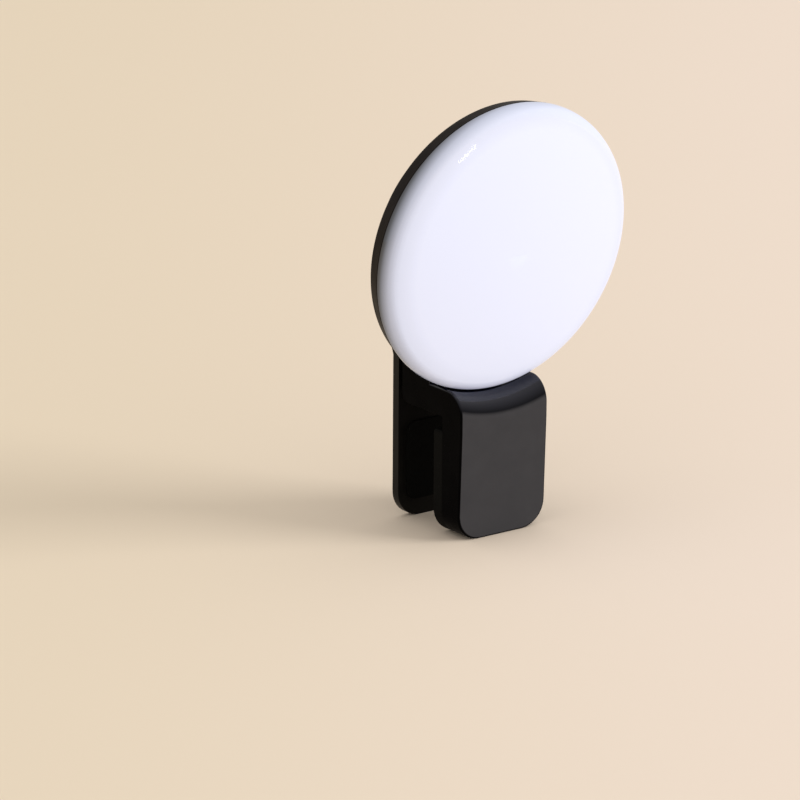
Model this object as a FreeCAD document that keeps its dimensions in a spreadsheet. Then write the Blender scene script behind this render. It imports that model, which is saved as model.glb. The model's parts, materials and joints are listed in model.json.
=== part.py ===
"""Clip-on selfie light: a domed disc light on a sprung clip.

Millimetres and degrees. X is to the viewer's right, the light faces -Y and Z is up. The origin
is where the screen side of the clip's gap meets the seat under the bridge, in the middle of
the clip's width. Pieces of the disc are drawn in the disc's own axes: x right, y up the disc,
z out of its face, with z = 0 at the back of the rim.
"""
import FreeCAD, Part
import math
import os
import Sketcher

# Driving sizes
SIZES = {
    # Clip body
    "clip_width": 14.6,
    "jaw_depth": 4.2,
    "jaw_lean": 0.55,
    "jaw_drop": 16.9,
    "jaw_corner": 3.7,
    "jaw_edge": 0.3,
    "bridge_thick": 2.68,
    "bridge_reach": 2.7,
    "crest_round": 3.2,
    "cheek_thick": 1.7,
    "ear_radius": 1.55,
    "ear_gap": 0.4,
    "heel_round": 1.2,
    "saddle_gap": 0.47,
    "cheek_rise": 0.4,
    "lean_drop": 1.0,
    # Front pad
    "pad_thick": 1.8,
    "pad_top_gap": 2.1,
    "pad_edge": 0.5,
    # Lever and its pad
    "phone_gap": 7.9,
    "lever_thick": 1.25,
    "lever_straight": 6.3,
    "tab_lean": 22.0,
    "tab_top": 17.5,
    "tab_corner": 3.0,
    "lug_radius": 1.5,
    "lug_inner": 3.3,
    "lug_clear": 0.25,
    "rib_radius": 0.35,
    "rib_pitch": 1.5,
    "rib_inset": 2.3,
    "rib_first": 1.6,
    "rear_pad_inset": 1.3,
    "rear_pad_foot": 2.4,
    "rear_pad_thick": 0.6,
    "rear_pad_proud": 0.25,
    "rear_pad_drop": 3.5,
    "rear_pad_corner": 1.5,
    # Pins, spring and washers
    "lever_pin_set": 2.05,
    "lever_pin_rise": 2.2,
    "lever_pin_radius": 0.75,
    "tilt_pin_along": 5.85,
    "tilt_pin_radius": 0.8,
    "pin_skin": 0.6,
    "pin_recess": 0.25,
    "pin_chamfer": 0.15,
    "pin_clear": 0.05,
    "spring_wire": 0.5,
    "spring_coil": 1.2,
    "spring_pitch": 0.6,
    "spring_leg_rise": 2.7,
    "washer_thick": 0.4,
    "washer_clear": 0.05,
    # Head housing
    "head_radius": 20.35,
    "rim_flare": 0.62,
    "head_tilt": 7.7,
    "rim_foot": 0.34,
    "rim_front": 2.25,
    "rim_lip": 0.95,
    "rim_round": 0.6,
    "rim_edge": 0.15,
    "bevel_run": 4.9,
    "back_depth": 5.2,
    "back_round": 1.5,
    "shell_wall": 1.2,
    "side_wall": 1.4,
    "ledge_rise": 0.5,
    "knuckle_radius": 1.5,
    "neck_skin": 0.2,
    # Diffuser dome
    "dome_clear": 0.05,
    "dome_wall": 1.0,
    "dome_crown": 6.4,
    "dome_edge": 3.9,
    "dome_round": 1.8,
    # Boards, reflector and LEDs
    "board_seat": 0.4,
    "board_thick": 1.0,
    "board_clear": 0.5,
    "sheet_thick": 0.3,
    "sheet_inset": 0.3,
    "led_long": 2.8,
    "led_wide": 2.0,
    "led_tall": 0.7,
    "led_clear": 0.15,
    "led_edge": 0.1,
    # Board screws and their bosses
    "boss_radius": 1.6,
    "screw_radius": 0.7,
    "screw_length": 3.4,
    "screw_head_radius": 1.2,
    "screw_head_tall": 0.8,
    "screw_slot": 0.35,
    "screw_clear": 0.06,
    "screw_join": 0.1,
    # Battery
    "battery_clear": 1.0,
    "battery_thick": 2.9,
    "battery_round": 1.0,
    "tape_thick": 0.2,
    "tape_inset": 2.0,
    "foam_inset": 2.5,
    "lead_radius": 0.35,
    "lead_run": 1.4,
    "lead_room": 2.05,
    "lead_bend": 0.9,
    "lead_pitch": 2.0,
    # Socket
    "usb_width": 8.94,
    "usb_height": 3.16,
    "usb_length": 7.35,
    "usb_wall": 0.3,
    "usb_corner": 1.3,
    "usb_setback": 2.45,
    "usb_clear": 0.2,
    "usb_block": 2.4,
    "tongue_width": 6.7,
    "tongue_thick": 0.7,
    "tongue_setback": 1.0,
    # Power button, switch and indicator
    "button_radius": 3.0,
    "button_proud": 0.5,
    "button_clear": 0.1,
    "button_edge": 0.3,
    "flange_radius": 3.6,
    "flange_thick": 0.6,
    "flange_gap": 0.6,
    "stem_radius": 1.1,
    "rest_clear": 0.05,
    "switch_side": 5.2,
    "switch_tall": 1.5,
    "plunger_radius": 0.9,
    "plunger_proud": 0.4,
    "plunger_sunk": 0.4,
    "plunger_room": 0.4,
    "pipe_x": 5.0,
    "pipe_radius": 0.75,
    "indicator_side": 1.6,
    "indicator_tall": 0.8,
    # Small parts on the board
    "chip_gap": 1.55,
    "chip_long": 4.9,
    "chip_wide": 3.9,
    "chip_tall": 1.4,
    "inductor_room": 0.9,
    "inductor_gap": 0.6,
    "inductor_side": 3.0,
    "inductor_tall": 1.5,
    "part_edge": 0.25,
    # How far cutting shapes reach past what they cut
    "cut_past": 1.0,
}

# The inner ring of LEDs, as a share of the outer one
INNER_SHARE = 0.3

# Sizes that follow from the driving ones
DERIVED = {
    "clip_half": "clip_width / 2",
    "jaw_front": "-(pad_thick + jaw_depth)",
    "cheek_in": "clip_half - cheek_thick",
    "back_radius": "head_radius - rim_flare",
    "saddle_radius": "head_radius + saddle_gap",
    "head_z": "bridge_thick + saddle_radius",
    "head_y": "rim_foot - back_radius * sin(head_tilt * 1deg)",
    "saddle_side": "head_z - sqrt(saddle_radius * saddle_radius - clip_half * clip_half)",
    "lean_start": "bridge_thick - crest_round - lean_drop",
    "bevel_length": "sqrt(bevel_run * bevel_run + back_depth * back_depth)",
    "bevel_up": "bevel_run / bevel_length",
    "bevel_back": "back_depth / bevel_length",
    "foot_z": "head_z - back_radius * cos(head_tilt * 1deg)",
    "slope_y": "bevel_back * cos(head_tilt * 1deg) - bevel_up * sin(head_tilt * 1deg)",
    "slope_z": "bevel_up * cos(head_tilt * 1deg) + bevel_back * sin(head_tilt * 1deg)",
    "tilt_pin_out": "ear_radius + ear_gap",
    "tilt_pin_y": "rim_foot + tilt_pin_along * slope_y + tilt_pin_out * slope_z",
    "tilt_pin_z": "foot_z + tilt_pin_along * slope_z - tilt_pin_out * slope_y",
    "ear_y": "rim_foot + tilt_pin_along * slope_y + ear_gap * slope_z",
    "ear_z": "foot_z + tilt_pin_along * slope_z - ear_gap * slope_y",
    "blank_top": "saddle_side + cheek_rise",
    "shelf_y": "ear_y - (ear_z - blank_top) * slope_y / slope_z",
    "cheek_rear": "tilt_pin_y + ear_radius",
    "lever_pin_y": "phone_gap - lever_pin_set",
    "lever_back": "phone_gap + lever_thick",
    "tab_front": "phone_gap + (tab_top - lever_straight) * tan(tab_lean * 1deg)",
    "tab_back": "tab_front + lever_thick * cos(tab_lean * 1deg)",
    "tab_back_top": "tab_top - lever_thick * sin(tab_lean * 1deg)",
    "tab_back_foot": "lever_straight - lever_thick * tan(tab_lean * 0.5deg)",
    "knuckle_half": "cheek_in - washer_thick - 2 * washer_clear",
    "floor_z": "-(back_depth - shell_wall)",
    "bevel_in": "back_radius - side_wall + floor_z * bevel_run / back_depth",
    "skirt_radius": "head_radius - rim_lip - dome_clear",
    "board_radius": "back_radius - side_wall - board_clear",
    "board_top": "board_seat + board_thick",
    "led_ring_outer": "board_radius - sheet_inset - led_edge - led_clear - led_wide / 2",
    "led_ring_inner": "led_ring_outer * %s" % INNER_SHARE,
    "led_ring_middle": "(led_ring_outer + led_ring_inner) / 2",
    "boss_ring": "led_ring_outer - led_wide",
    "button_rise": "boss_ring - boss_radius - flange_gap - flange_radius",
    "usb_mouth": "back_radius - usb_setback",
    "battery_left": "boss_radius + battery_clear - boss_ring * cos(30deg)",
    "battery_right": "usb_mouth - usb_length - lead_room - lead_run",
    "battery_room": "bevel_in - battery_clear",
    "battery_low": "-sqrt(battery_room * battery_room - battery_left * battery_left)",
    "battery_top": "button_rise - flange_radius - battery_clear",
    "battery_width": "battery_right - battery_left",
    "battery_height": "battery_top - battery_low",
    "battery_x": "(battery_left + battery_right) / 2",
    "battery_y": "(battery_low + battery_top) / 2",
    "battery_back": "floor_z + tape_thick",
    "battery_front": "battery_back + battery_thick",
    "switch_face": "board_seat - switch_tall",
    "plunger_face": "switch_face - plunger_proud",
    "flange_back": "floor_z + rest_clear",
    "chip_x": "-(switch_side / 2 + chip_gap + chip_long / 2)",
    "chip_y": "button_rise",
    "inductor_x": "battery_right + inductor_room + inductor_side / 2",
    "inductor_y": "usb_width / 2 + inductor_gap + inductor_side / 2",
    "rear_pad_width": "clip_width - 2 * rear_pad_inset",
    "rear_pad_height": "jaw_drop - rear_pad_drop - rear_pad_foot",
    "rib_width": "clip_width - 2 * rib_inset",
}

HEAD_UPRIGHT = 90.0
BOSS_COUNT = 3
OUTER_COUNT = 18
MIDDLE_COUNT = 12
INNER_COUNT = 6
LED_RINGS = (
    ("led_ring_outer", OUTER_COUNT),
    ("led_ring_middle", MIDDLE_COUNT),
    ("led_ring_inner", INNER_COUNT),
)
RIB_COUNT = 5
SPRING_TURNS = 7
FULL_TURN = 360.0
NEAR = 0.01

doc = FreeCAD.newDocument("selfie_light")
sheet = doc.addObject("Spreadsheet::Sheet", "dims")
parts = []


# The sheet of sizes
def fill_sheet():
    row = 1
    for name, value in SIZES.items():
        cell = "A%d" % row
        sheet.set(cell, str(value))
        sheet.setAlias(cell, name)
        row += 1
    for name, formula in DERIVED.items():
        cell = "A%d" % row
        sheet.set(cell, "=" + formula)
        sheet.setAlias(cell, name)
        row += 1
    doc.recompute()


def bound(expression):
    """The expression with each size's name written as a reference to the sheet."""
    words = []
    word = ""
    for mark in expression + " ":
        if mark.isalnum() or mark == "_":
            word += mark
            continue
        if word in SIZES or word in DERIVED:
            word = "dims." + word
        words.append(word + mark)
        word = ""
    return "".join(words).strip()


def number(expression):
    """The value of an expression of the sheet's sizes."""
    result = sheet.evalExpression(bound(expression))
    return float(getattr(result, "Value", result))


# Bodies, outlines and features
def new_body(label, kept=True):
    """A body, kept as a sub-part of its own unless another object uses it."""
    body = doc.addObject("PartDesign::Body", label)
    body.Label = label
    if kept:
        parts.append(body)
    return body


def plane_of(body, role):
    return [item for item in body.Origin.OriginFeatures if item.Role == role][0]


def new_sketch(body, name, role, offset):
    sketch = body.newObject("Sketcher::SketchObject", name)
    sketch.AttachmentSupport = [(plane_of(body, role), "")]
    sketch.MapMode = "FlatFace"
    if offset:
        sketch.setExpression("AttachmentOffset.Base.z", bound(offset))
    return sketch


def hold(sketch, kind, item, point, expression):
    """Tie one coordinate of a sketch point to an expression."""
    held = sketch.addConstraint(
        Sketcher.Constraint(kind, -1, 1, item, point, number(expression))
    )
    sketch.setExpression("Constraints[%d]" % held, bound(expression))


def arc_between(start, end, centre_x, clockwise):
    """The arc from start to end whose centre has the given x."""
    gap_x = (end.x - start.x) * (centre_x - (start.x + end.x) / 2)
    if abs(end.y - start.y) > NEAR:
        centre_y = (start.y + end.y) / 2 - gap_x / (end.y - start.y)
    else:
        centre_y = start.y
    centre = FreeCAD.Vector(centre_x, centre_y, 0)
    circle = Part.Circle(centre, FreeCAD.Vector(0, 0, 1), start.sub(centre).Length)
    first = math.atan2(start.y - centre_y, start.x - centre_x)
    last = math.atan2(end.y - centre_y, end.x - centre_x)
    if clockwise:
        first, last = last, first
    if last < first:
        last += 2 * math.pi
    return Part.ArcOfCircle(circle, first, last)


def outline(body, name, role, corners, offset=None, arcs=()):
    """A closed outline: corners are pairs of expressions, joined by lines or arcs.

    arcs maps a corner's place in the list to the arc that leaves it: the x of the arc's centre
    and whether it turns clockwise.
    """
    sketch = new_sketch(body, name, role, offset)
    arcs = dict(arcs)
    places = [FreeCAD.Vector(number(x), number(y), 0) for x, y in corners]
    count = len(corners)
    ends = []
    for index in range(count):
        start = places[index]
        end = places[(index + 1) % count]
        if index in arcs:
            centre, clockwise = arcs[index]
            sketch.addGeometry(arc_between(start, end, number(centre), clockwise), False)
            ends.append((2, 1) if clockwise else (1, 2))
        else:
            sketch.addGeometry(Part.LineSegment(start, end), False)
            ends.append((1, 2))
    for index in range(count):
        after = (index + 1) % count
        sketch.addConstraint(
            Sketcher.Constraint("Coincident", index, ends[index][1], after, ends[after][0])
        )
    for index, (x, y) in enumerate(corners):
        hold(sketch, "DistanceX", index, ends[index][0], x)
        hold(sketch, "DistanceY", index, ends[index][0], y)
    for index, (centre, clockwise) in arcs.items():
        hold(sketch, "DistanceX", index, 3, centre)
    return sketch


def rectangle(body, name, role, low, high, offset=None):
    """A rectangle from its low corner to its high corner."""
    corners = [low, (high[0], low[1]), high, (low[0], high[1])]
    return outline(body, name, role, corners, offset)


def circles(body, name, role, rounds, offset=None):
    """Circles, each given by the expressions of its centre and radius."""
    sketch = new_sketch(body, name, role, offset)
    up = FreeCAD.Vector(0, 0, 1)
    for index, (x, y, radius) in enumerate(rounds):
        centre = FreeCAD.Vector(number(x), number(y), 0)
        sketch.addGeometry(Part.Circle(centre, up, number(radius)), False)
        hold(sketch, "DistanceX", index, 3, x)
        hold(sketch, "DistanceY", index, 3, y)
        held = sketch.addConstraint(Sketcher.Constraint("Radius", index, number(radius)))
        sketch.setExpression("Constraints[%d]" % held, bound(radius))
    return sketch


def pad(body, name, sketch, length, both=False, reverse=False):
    feature = body.newObject("PartDesign::Pad", name)
    feature.Profile = sketch
    feature.setExpression("Length", bound(length))
    feature.Midplane = both
    feature.Reversed = reverse
    doc.recompute()
    return feature


def pocket(body, name, sketch, length, both=False, reverse=False):
    before = body.Tip.Shape.Volume
    feature = body.newObject("PartDesign::Pocket", name)
    feature.Profile = sketch
    feature.setExpression("Length", bound(length))
    feature.Midplane = both
    feature.Reversed = reverse
    doc.recompute()
    if not feature.Shape.Volume < before:
        raise ValueError("%s cuts nothing" % name)
    return feature


def revolve(body, name, sketch):
    feature = body.newObject("PartDesign::Revolution", name)
    feature.Profile = sketch
    feature.ReferenceAxis = (sketch, ["V_Axis"])
    feature.Angle = FULL_TURN
    doc.recompute()
    return feature


def around(body, name, features, count):
    """Copies of features, spaced evenly about the body's z axis."""
    feature = body.newObject("PartDesign::PolarPattern", name)
    axis = [item for item in body.Origin.OriginFeatures if item.Role == "Z_Axis"][0]
    feature.Originals = features
    feature.Axis = (axis, [""])
    feature.Angle = FULL_TURN
    feature.Occurrences = count
    body.Tip = feature
    doc.recompute()
    return feature


def mirror(body, name, features):
    """Copies of features on the other side of the body's YZ plane."""
    feature = body.newObject("PartDesign::Mirrored", name)
    feature.Originals = features
    feature.MirrorPlane = (plane_of(body, "YZ_Plane"), [""])
    body.Tip = feature
    doc.recompute()
    return feature


def dress(body, name, kind, size, test):
    """A fillet or chamfer on the edges of the body that pass the test."""
    base = body.Tip
    names = [
        "Edge%d" % (index + 1)
        for index, edge in enumerate(base.Shape.Edges)
        if test(edge)
    ]
    if not names:
        raise ValueError("%s finds no edge" % name)
    feature = body.newObject("PartDesign::" + kind, name)
    feature.Base = (base, names)
    feature.setExpression("Radius" if kind == "Fillet" else "Size", bound(size))
    doc.recompute()
    return feature


# Tests that pick edges
def middle(edge):
    return edge.valueAt((edge.FirstParameter + edge.LastParameter) / 2)


def same(value, expression):
    return abs(value - number(expression)) < NEAR


def runs_along(edge, axis):
    """Whether a straight edge lies mostly along x, y or z."""
    if edge.Degenerated or not isinstance(edge.Curve, Part.Line):
        return False
    step = edge.Vertexes[-1].Point.sub(edge.Vertexes[0].Point)
    return abs(getattr(step, axis)) > 0.9 * step.Length


def is_round(edge):
    return not edge.Degenerated and isinstance(edge.Curve, Part.Circle)


def ring_at(edge, radius, level):
    """Whether an edge is a circle about z with this radius and height."""
    if not is_round(edge):
        return False
    return same(edge.Curve.Radius, radius) and same(edge.Curve.Center.z, level)


def to_head(piece):
    """Place a piece that was drawn in the disc's axes."""
    axis = FreeCAD.Vector(1, 0, 0)
    piece.Placement = FreeCAD.Placement(
        FreeCAD.Vector(0, 0, 0), FreeCAD.Rotation(axis, HEAD_UPRIGHT)
    )
    piece.setExpression("Placement.Base.y", bound("head_y"))
    piece.setExpression("Placement.Base.z", bound("head_z"))
    piece.setExpression("Placement.Rotation.Angle", bound("(head_tilt + 90) * 1deg"))


def on_bevel(along, out):
    """A point by the bevel at the foot of the disc, in the disc's y and z."""
    up = "-back_radius + (%s) * bevel_up - (%s) * bevel_back" % (along, out)
    back = "-(%s) * bevel_back - (%s) * bevel_up" % (along, out)
    return up, back


# Clip body: jaw, bridge with its saddle, and the two cheeks with their ears
def clip_body():
    body = new_body("clip_body")
    side = outline(body, "clip_side", "YZ_Plane", [
        ("jaw_front + jaw_lean", "-jaw_drop"),
        ("jaw_front", "lean_start"),
        ("jaw_front", "blank_top"),
        ("shelf_y", "blank_top"),
        ("ear_y", "ear_z"),
        ("tilt_pin_y", "tilt_pin_z"),
        ("cheek_rear", "tilt_pin_z"),
        ("cheek_rear", "0"),
        ("-pad_thick", "0"),
        ("-pad_thick", "-jaw_drop"),
    ])
    pad(body, "clip_blank", side, "clip_width", both=True)
    ear = circles(body, "ear_outline", "YZ_Plane", [("tilt_pin_y", "tilt_pin_z", "ear_radius")])
    pad(body, "ears", ear, "clip_width", both=True)
    slot = rectangle(
        body, "slot_outline", "YZ_Plane",
        ("bridge_reach", "-cut_past"),
        ("cheek_rear + cut_past", "tilt_pin_z + ear_radius + cut_past"),
    )
    pocket(body, "slot", slot, "2 * cheek_in", both=True)
    saddle = circles(
        body, "saddle_outline", "XZ_Plane", [("0", "head_z", "saddle_radius")], "-shelf_y"
    )
    pocket(body, "saddle", saddle, "shelf_y - jaw_front + cut_past", reverse=True)
    dress(body, "crest", "Fillet", "crest_round", is_crest)
    dress(body, "jaw_corners", "Fillet", "jaw_corner", is_jaw_corner)
    dress(body, "heels", "Fillet", "heel_round", is_heel)
    for name, place in (("lever_pin", "lever_pin_y"), ("tilt_pin", "tilt_pin_y")):
        height = "lever_pin_rise" if name == "lever_pin" else "tilt_pin_z"
        hole = circles(
            body, name + "_hole_outline", "YZ_Plane", [(place, height, name + "_radius")], "clip_half"
        )
        pocket(body, name + "_hole", hole, "clip_width - pin_skin")
    dress(body, "jaw_edges", "Fillet", "jaw_edge", is_jaw_edge)
    return body


def is_crest(edge):
    if not is_round(edge):
        return False
    return same(edge.Curve.Radius, "saddle_radius") and same(middle(edge).y, "jaw_front")


def is_jaw_corner(edge):
    place = middle(edge)
    return runs_along(edge, "y") and same(place.z, "-jaw_drop") and same(abs(place.x), "clip_half")


def is_heel(edge):
    place = middle(edge)
    return runs_along(edge, "x") and same(place.y, "cheek_rear") and same(place.z, "0")


def is_jaw_edge(edge):
    """The two long upright edges of the jaw's leaning front face."""
    place = middle(edge)
    low = number("-jaw_drop")
    return (
        runs_along(edge, "z")
        and same(abs(place.x), "clip_half")
        and place.y < number("jaw_front + jaw_lean") - NEAR
        and low < place.z < number("lean_start")
    )


def front_pad():
    body = new_body("front_pad")
    face = rectangle(
        body, "pad_outline", "XZ_Plane", ("-clip_half", "-jaw_drop"), ("clip_half", "-pad_top_gap")
    )
    pad(body, "pad_block", face, "pad_thick")
    dress(body, "pad_corners", "Fillet", "jaw_corner", is_jaw_corner)
    dress(body, "pad_shoulders", "Fillet", "pad_edge", is_pad_shoulder)
    return body


def is_pad_shoulder(edge):
    place = middle(edge)
    return runs_along(edge, "y") and same(place.z, "-pad_top_gap")


# Lever: one moulded plate with its lugs, ribs and the recess for its pad
def lever():
    body = new_body("lever")
    side = outline(body, "lever_side", "YZ_Plane", [
        ("phone_gap", "-jaw_drop"),
        ("lever_back", "-jaw_drop"),
        ("lever_back", "tab_back_foot"),
        ("tab_back", "tab_back_top"),
        ("tab_front", "tab_top"),
        ("phone_gap", "lever_straight"),
    ])
    pad(body, "lever_plate", side, "clip_width", both=True)
    dress(body, "lever_corners", "Fillet", "jaw_corner", is_jaw_corner)
    dress(body, "tab_corners", "Fillet", "tab_corner", is_tab_corner)
    lug = outline(
        body, "lug_outline", "YZ_Plane",
        [
            ("phone_gap + lever_thick / 2", "lever_pin_rise + lug_radius"),
            ("lever_pin_y", "lever_pin_rise + lug_radius"),
            ("lever_pin_y", "lever_pin_rise - lug_radius"),
            ("phone_gap + lever_thick / 2", "lever_pin_rise - lug_radius"),
        ],
        "lug_inner", {1: ("lever_pin_y", False)},
    )
    right = pad(body, "lug_right", lug, "cheek_in - lug_clear - lug_inner")
    mirror(body, "lug_left", [right])
    bore = circles(
        body, "lug_bore_outline", "YZ_Plane",
        [("lever_pin_y", "lever_pin_rise", "lever_pin_radius + pin_clear")],
    )
    pocket(body, "lug_bore", bore, "2 * cheek_in", both=True)
    ribs = []
    for index in range(RIB_COUNT):
        down = "(rib_first + rib_pitch * %d)" % index
        ribs.append((
            "tab_back - %s * sin(tab_lean * 1deg)" % down,
            "tab_back_top - %s * cos(tab_lean * 1deg)" % down,
            "rib_radius",
        ))
    pad(body, "grip_ribs", circles(body, "rib_outline", "YZ_Plane", ribs), "rib_width", both=True)
    recess = rectangle(
        body, "recess_outline", "YZ_Plane",
        ("phone_gap - cut_past", "-rear_pad_drop - rear_pad_height"),
        ("phone_gap + rear_pad_thick - rear_pad_proud", "-rear_pad_drop"),
    )
    pocket(body, "pad_recess", recess, "rear_pad_width", both=True)
    dress(body, "recess_corners", "Fillet", "rear_pad_corner", is_recess_corner)
    return body


def is_tab_corner(edge):
    place = middle(edge)
    across = isinstance(edge.Curve, Part.Line) and not runs_along(edge, "x")
    high = number("tab_top - lever_thick")
    short = edge.Length < number("2 * lever_thick")
    return across and short and place.z > high and same(abs(place.x), "clip_half")


def is_recess_corner(edge):
    place = middle(edge)
    inside = number("phone_gap") < place.y < number("phone_gap + lever_thick / 2")
    return runs_along(edge, "y") and inside and same(abs(place.x), "rear_pad_width / 2")


def rear_pad():
    body = new_body("rear_pad")
    face = rectangle(
        body, "rear_pad_outline", "XZ_Plane",
        ("-rear_pad_width / 2", "-rear_pad_drop - rear_pad_height"),
        ("rear_pad_width / 2", "-rear_pad_drop"),
        "-(phone_gap - rear_pad_proud)",
    )
    pad(body, "rear_pad_block", face, "rear_pad_thick", reverse=True)
    dress(body, "rear_pad_corners", "Fillet", "rear_pad_corner", lambda edge: runs_along(edge, "y"))
    return body


# Pins, spring and washers
def hinge_pin(label, place, height, radius):
    """A pin with chamfered ends, lying along x."""
    body = new_body(label)
    face = circles(body, label + "_outline", "YZ_Plane", [(place, height, radius)], "pin_skin - clip_half")
    pad(body, label + "_rod", face, "clip_width - pin_skin - pin_recess")
    dress(body, label + "_ends", "Chamfer", "pin_chamfer", is_round)
    return body


def tilt_washer(label, side):
    """A friction washer between the head's knuckle and one cheek."""
    body = new_body(label)
    rounds = [
        ("tilt_pin_y", "tilt_pin_z", "knuckle_radius"),
        ("tilt_pin_y", "tilt_pin_z", "tilt_pin_radius + pin_clear"),
    ]
    start = "knuckle_half + washer_clear"
    if side < 0:
        start = "-(knuckle_half + washer_clear + washer_thick)"
    face = circles(body, label + "_outline", "YZ_Plane", rounds, start)
    pad(body, label + "_disc", face, "washer_thick")
    return body


def rod(start, end, radius):
    """A round rod from one point to another."""
    step = end.sub(start)
    return Part.makeCylinder(radius, step.Length, start, step)


def torsion_spring():
    """A coil about the lever's pin, with one leg on the bridge and one on the lever."""
    wire = number("spring_wire") / 2
    coil = number("spring_coil")
    pitch = number("spring_pitch")
    length = SPRING_TURNS * pitch
    helix = Part.makeHelix(pitch, length, coil)
    section = Part.Wire(Part.makeCircle(wire, FreeCAD.Vector(coil, 0, 0), FreeCAD.Vector(0, 1, 0)))
    turns = Part.Wire(helix.Edges).makePipeShell([section], True, True)
    turns.translate(FreeCAD.Vector(0, 0, -length / 2))
    turns.rotate(FreeCAD.Vector(0, 0, 0), FreeCAD.Vector(0, 1, 0), 90)
    turns.rotate(FreeCAD.Vector(0, 0, 0), FreeCAD.Vector(1, 0, 0), 90)
    axis = FreeCAD.Vector(0, number("lever_pin_y"), number("lever_pin_rise"))
    turns.translate(axis)
    half = FreeCAD.Vector(length / 2, 0, 0)
    top = axis.add(FreeCAD.Vector(0, 0, coil))
    front = number("bridge_reach + rest_clear")
    back = number("phone_gap - rest_clear - spring_wire / 2")
    rise = number("lever_pin_rise + spring_leg_rise")
    rear = axis.add(FreeCAD.Vector(0, coil, 0))
    front_leg = rod(top.sub(half), FreeCAD.Vector(-length / 2, front, top.z), wire)
    back_leg = rod(rear.add(half), FreeCAD.Vector(length / 2, back, rise), wire)
    joints = [Part.makeSphere(wire, top.sub(half)), Part.makeSphere(wire, rear.add(half))]
    spring = doc.addObject("Part::Feature", "torsion_spring")
    spring.Label = "torsion_spring"
    spring.Shape = turns.multiFuse([front_leg, back_leg] + joints)
    parts.append(spring)
    return spring


# Head housing: a shallow cup with bosses and openings, fused with its hinge knuckle
def housing_cup():
    body = new_body("housing_cup", kept=False)
    cup = outline(body, "cup_outline", "XZ_Plane", [
        ("0", "-back_depth"),
        ("back_radius - bevel_run", "-back_depth"),
        ("back_radius", "0"),
        ("head_radius", "rim_front"),
        ("head_radius - rim_lip", "rim_front"),
        ("head_radius - rim_lip", "ledge_rise"),
        ("back_radius - side_wall", "ledge_rise"),
        ("back_radius - side_wall", "0"),
        ("bevel_in", "floor_z"),
        ("0", "floor_z"),
    ])
    revolve(body, "cup", cup)
    dress(body, "rim_rounding", "Fillet", "rim_round", lambda edge: ring_at(edge, "back_radius", "0"))
    dress(
        body, "back_rounding", "Fillet", "back_round",
        lambda edge: ring_at(edge, "back_radius - bevel_run", "-back_depth"),
    )
    dress(body, "lip_rounding", "Fillet", "rim_edge", is_lip_edge)
    rounds = [("0", "boss_ring", "boss_radius"), ("0", "boss_ring", "screw_radius + screw_clear")]
    boss = pad(
        body, "boss", circles(body, "boss_outline", "XY_Plane", rounds, "floor_z"),
        "board_seat - floor_z",
    )
    around(body, "bosses", [boss], BOSS_COUNT)
    usb = rectangle(
        body, "usb_slot_outline", "YZ_Plane",
        ("-usb_width / 2 - usb_clear", "board_seat - usb_height - usb_clear"),
        ("usb_width / 2 + usb_clear", "board_seat"),
        "head_radius + cut_past",
    )
    pocket(body, "usb_slot", usb, "bevel_run + side_wall + cut_past")
    rounds = [
        ("0", "button_rise", "button_radius + button_clear"),
        ("pipe_x", "button_rise", "pipe_radius + dome_clear"),
    ]
    holes = circles(body, "back_holes_outline", "XY_Plane", rounds, "floor_z")
    pocket(body, "back_holes", holes, "shell_wall + cut_past")
    return body


def hinge_knuckle():
    """The barrel round the tilt pin and the neck that joins it to the cup."""
    body = new_body("hinge_knuckle", kept=False)
    neck = outline(body, "neck_outline", "YZ_Plane", [
        on_bevel("tilt_pin_along - knuckle_radius", "neck_skin - shell_wall"),
        on_bevel("tilt_pin_along + knuckle_radius", "neck_skin - shell_wall"),
        on_bevel("tilt_pin_along + knuckle_radius", "tilt_pin_out"),
        on_bevel("tilt_pin_along - knuckle_radius", "tilt_pin_out"),
    ])
    pad(body, "neck", neck, "2 * knuckle_half", both=True)
    pin_place = on_bevel("tilt_pin_along", "tilt_pin_out")
    barrel = circles(body, "barrel_outline", "YZ_Plane", [pin_place + ("knuckle_radius",)])
    pad(body, "barrel", barrel, "2 * knuckle_half", both=True)
    bore = circles(
        body, "barrel_bore_outline", "YZ_Plane", [pin_place + ("tilt_pin_radius + pin_clear",)]
    )
    pocket(body, "barrel_bore", bore, "2 * knuckle_half + cut_past", both=True)
    return body


def head_housing():
    housing = doc.addObject("Part::Fuse", "head_housing")
    housing.Label = "head_housing"
    housing.Base = housing_cup()
    housing.Tool = hinge_knuckle()
    doc.recompute()
    parts.append(housing)
    return housing


def is_lip_edge(edge):
    return ring_at(edge, "head_radius", "rim_front") or ring_at(
        edge, "head_radius - rim_lip", "rim_front"
    )


def diffuser_dome():
    body = new_body("diffuser_dome")
    section = outline(
        body, "dome_section", "XZ_Plane",
        [
            ("skirt_radius", "ledge_rise"),
            ("skirt_radius", "rim_front + dome_clear"),
            ("head_radius", "rim_front + dome_clear"),
            ("head_radius", "dome_edge"),
            ("0", "dome_crown"),
            ("0", "dome_crown - dome_wall"),
            ("skirt_radius - dome_wall", "dome_edge - dome_wall"),
            ("skirt_radius - dome_wall", "ledge_rise"),
        ],
        None, {3: ("0", False), 5: ("0", True)},
    )
    revolve(body, "dome", section)
    dress(
        body, "shoulder", "Fillet", "dome_round",
        lambda edge: ring_at(edge, "head_radius", "dome_edge"),
    )
    dress(
        body, "shoulder_inside", "Fillet", "dome_round - dome_wall",
        lambda edge: ring_at(edge, "skirt_radius - dome_wall", "dome_edge - dome_wall"),
    )
    return body


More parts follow.
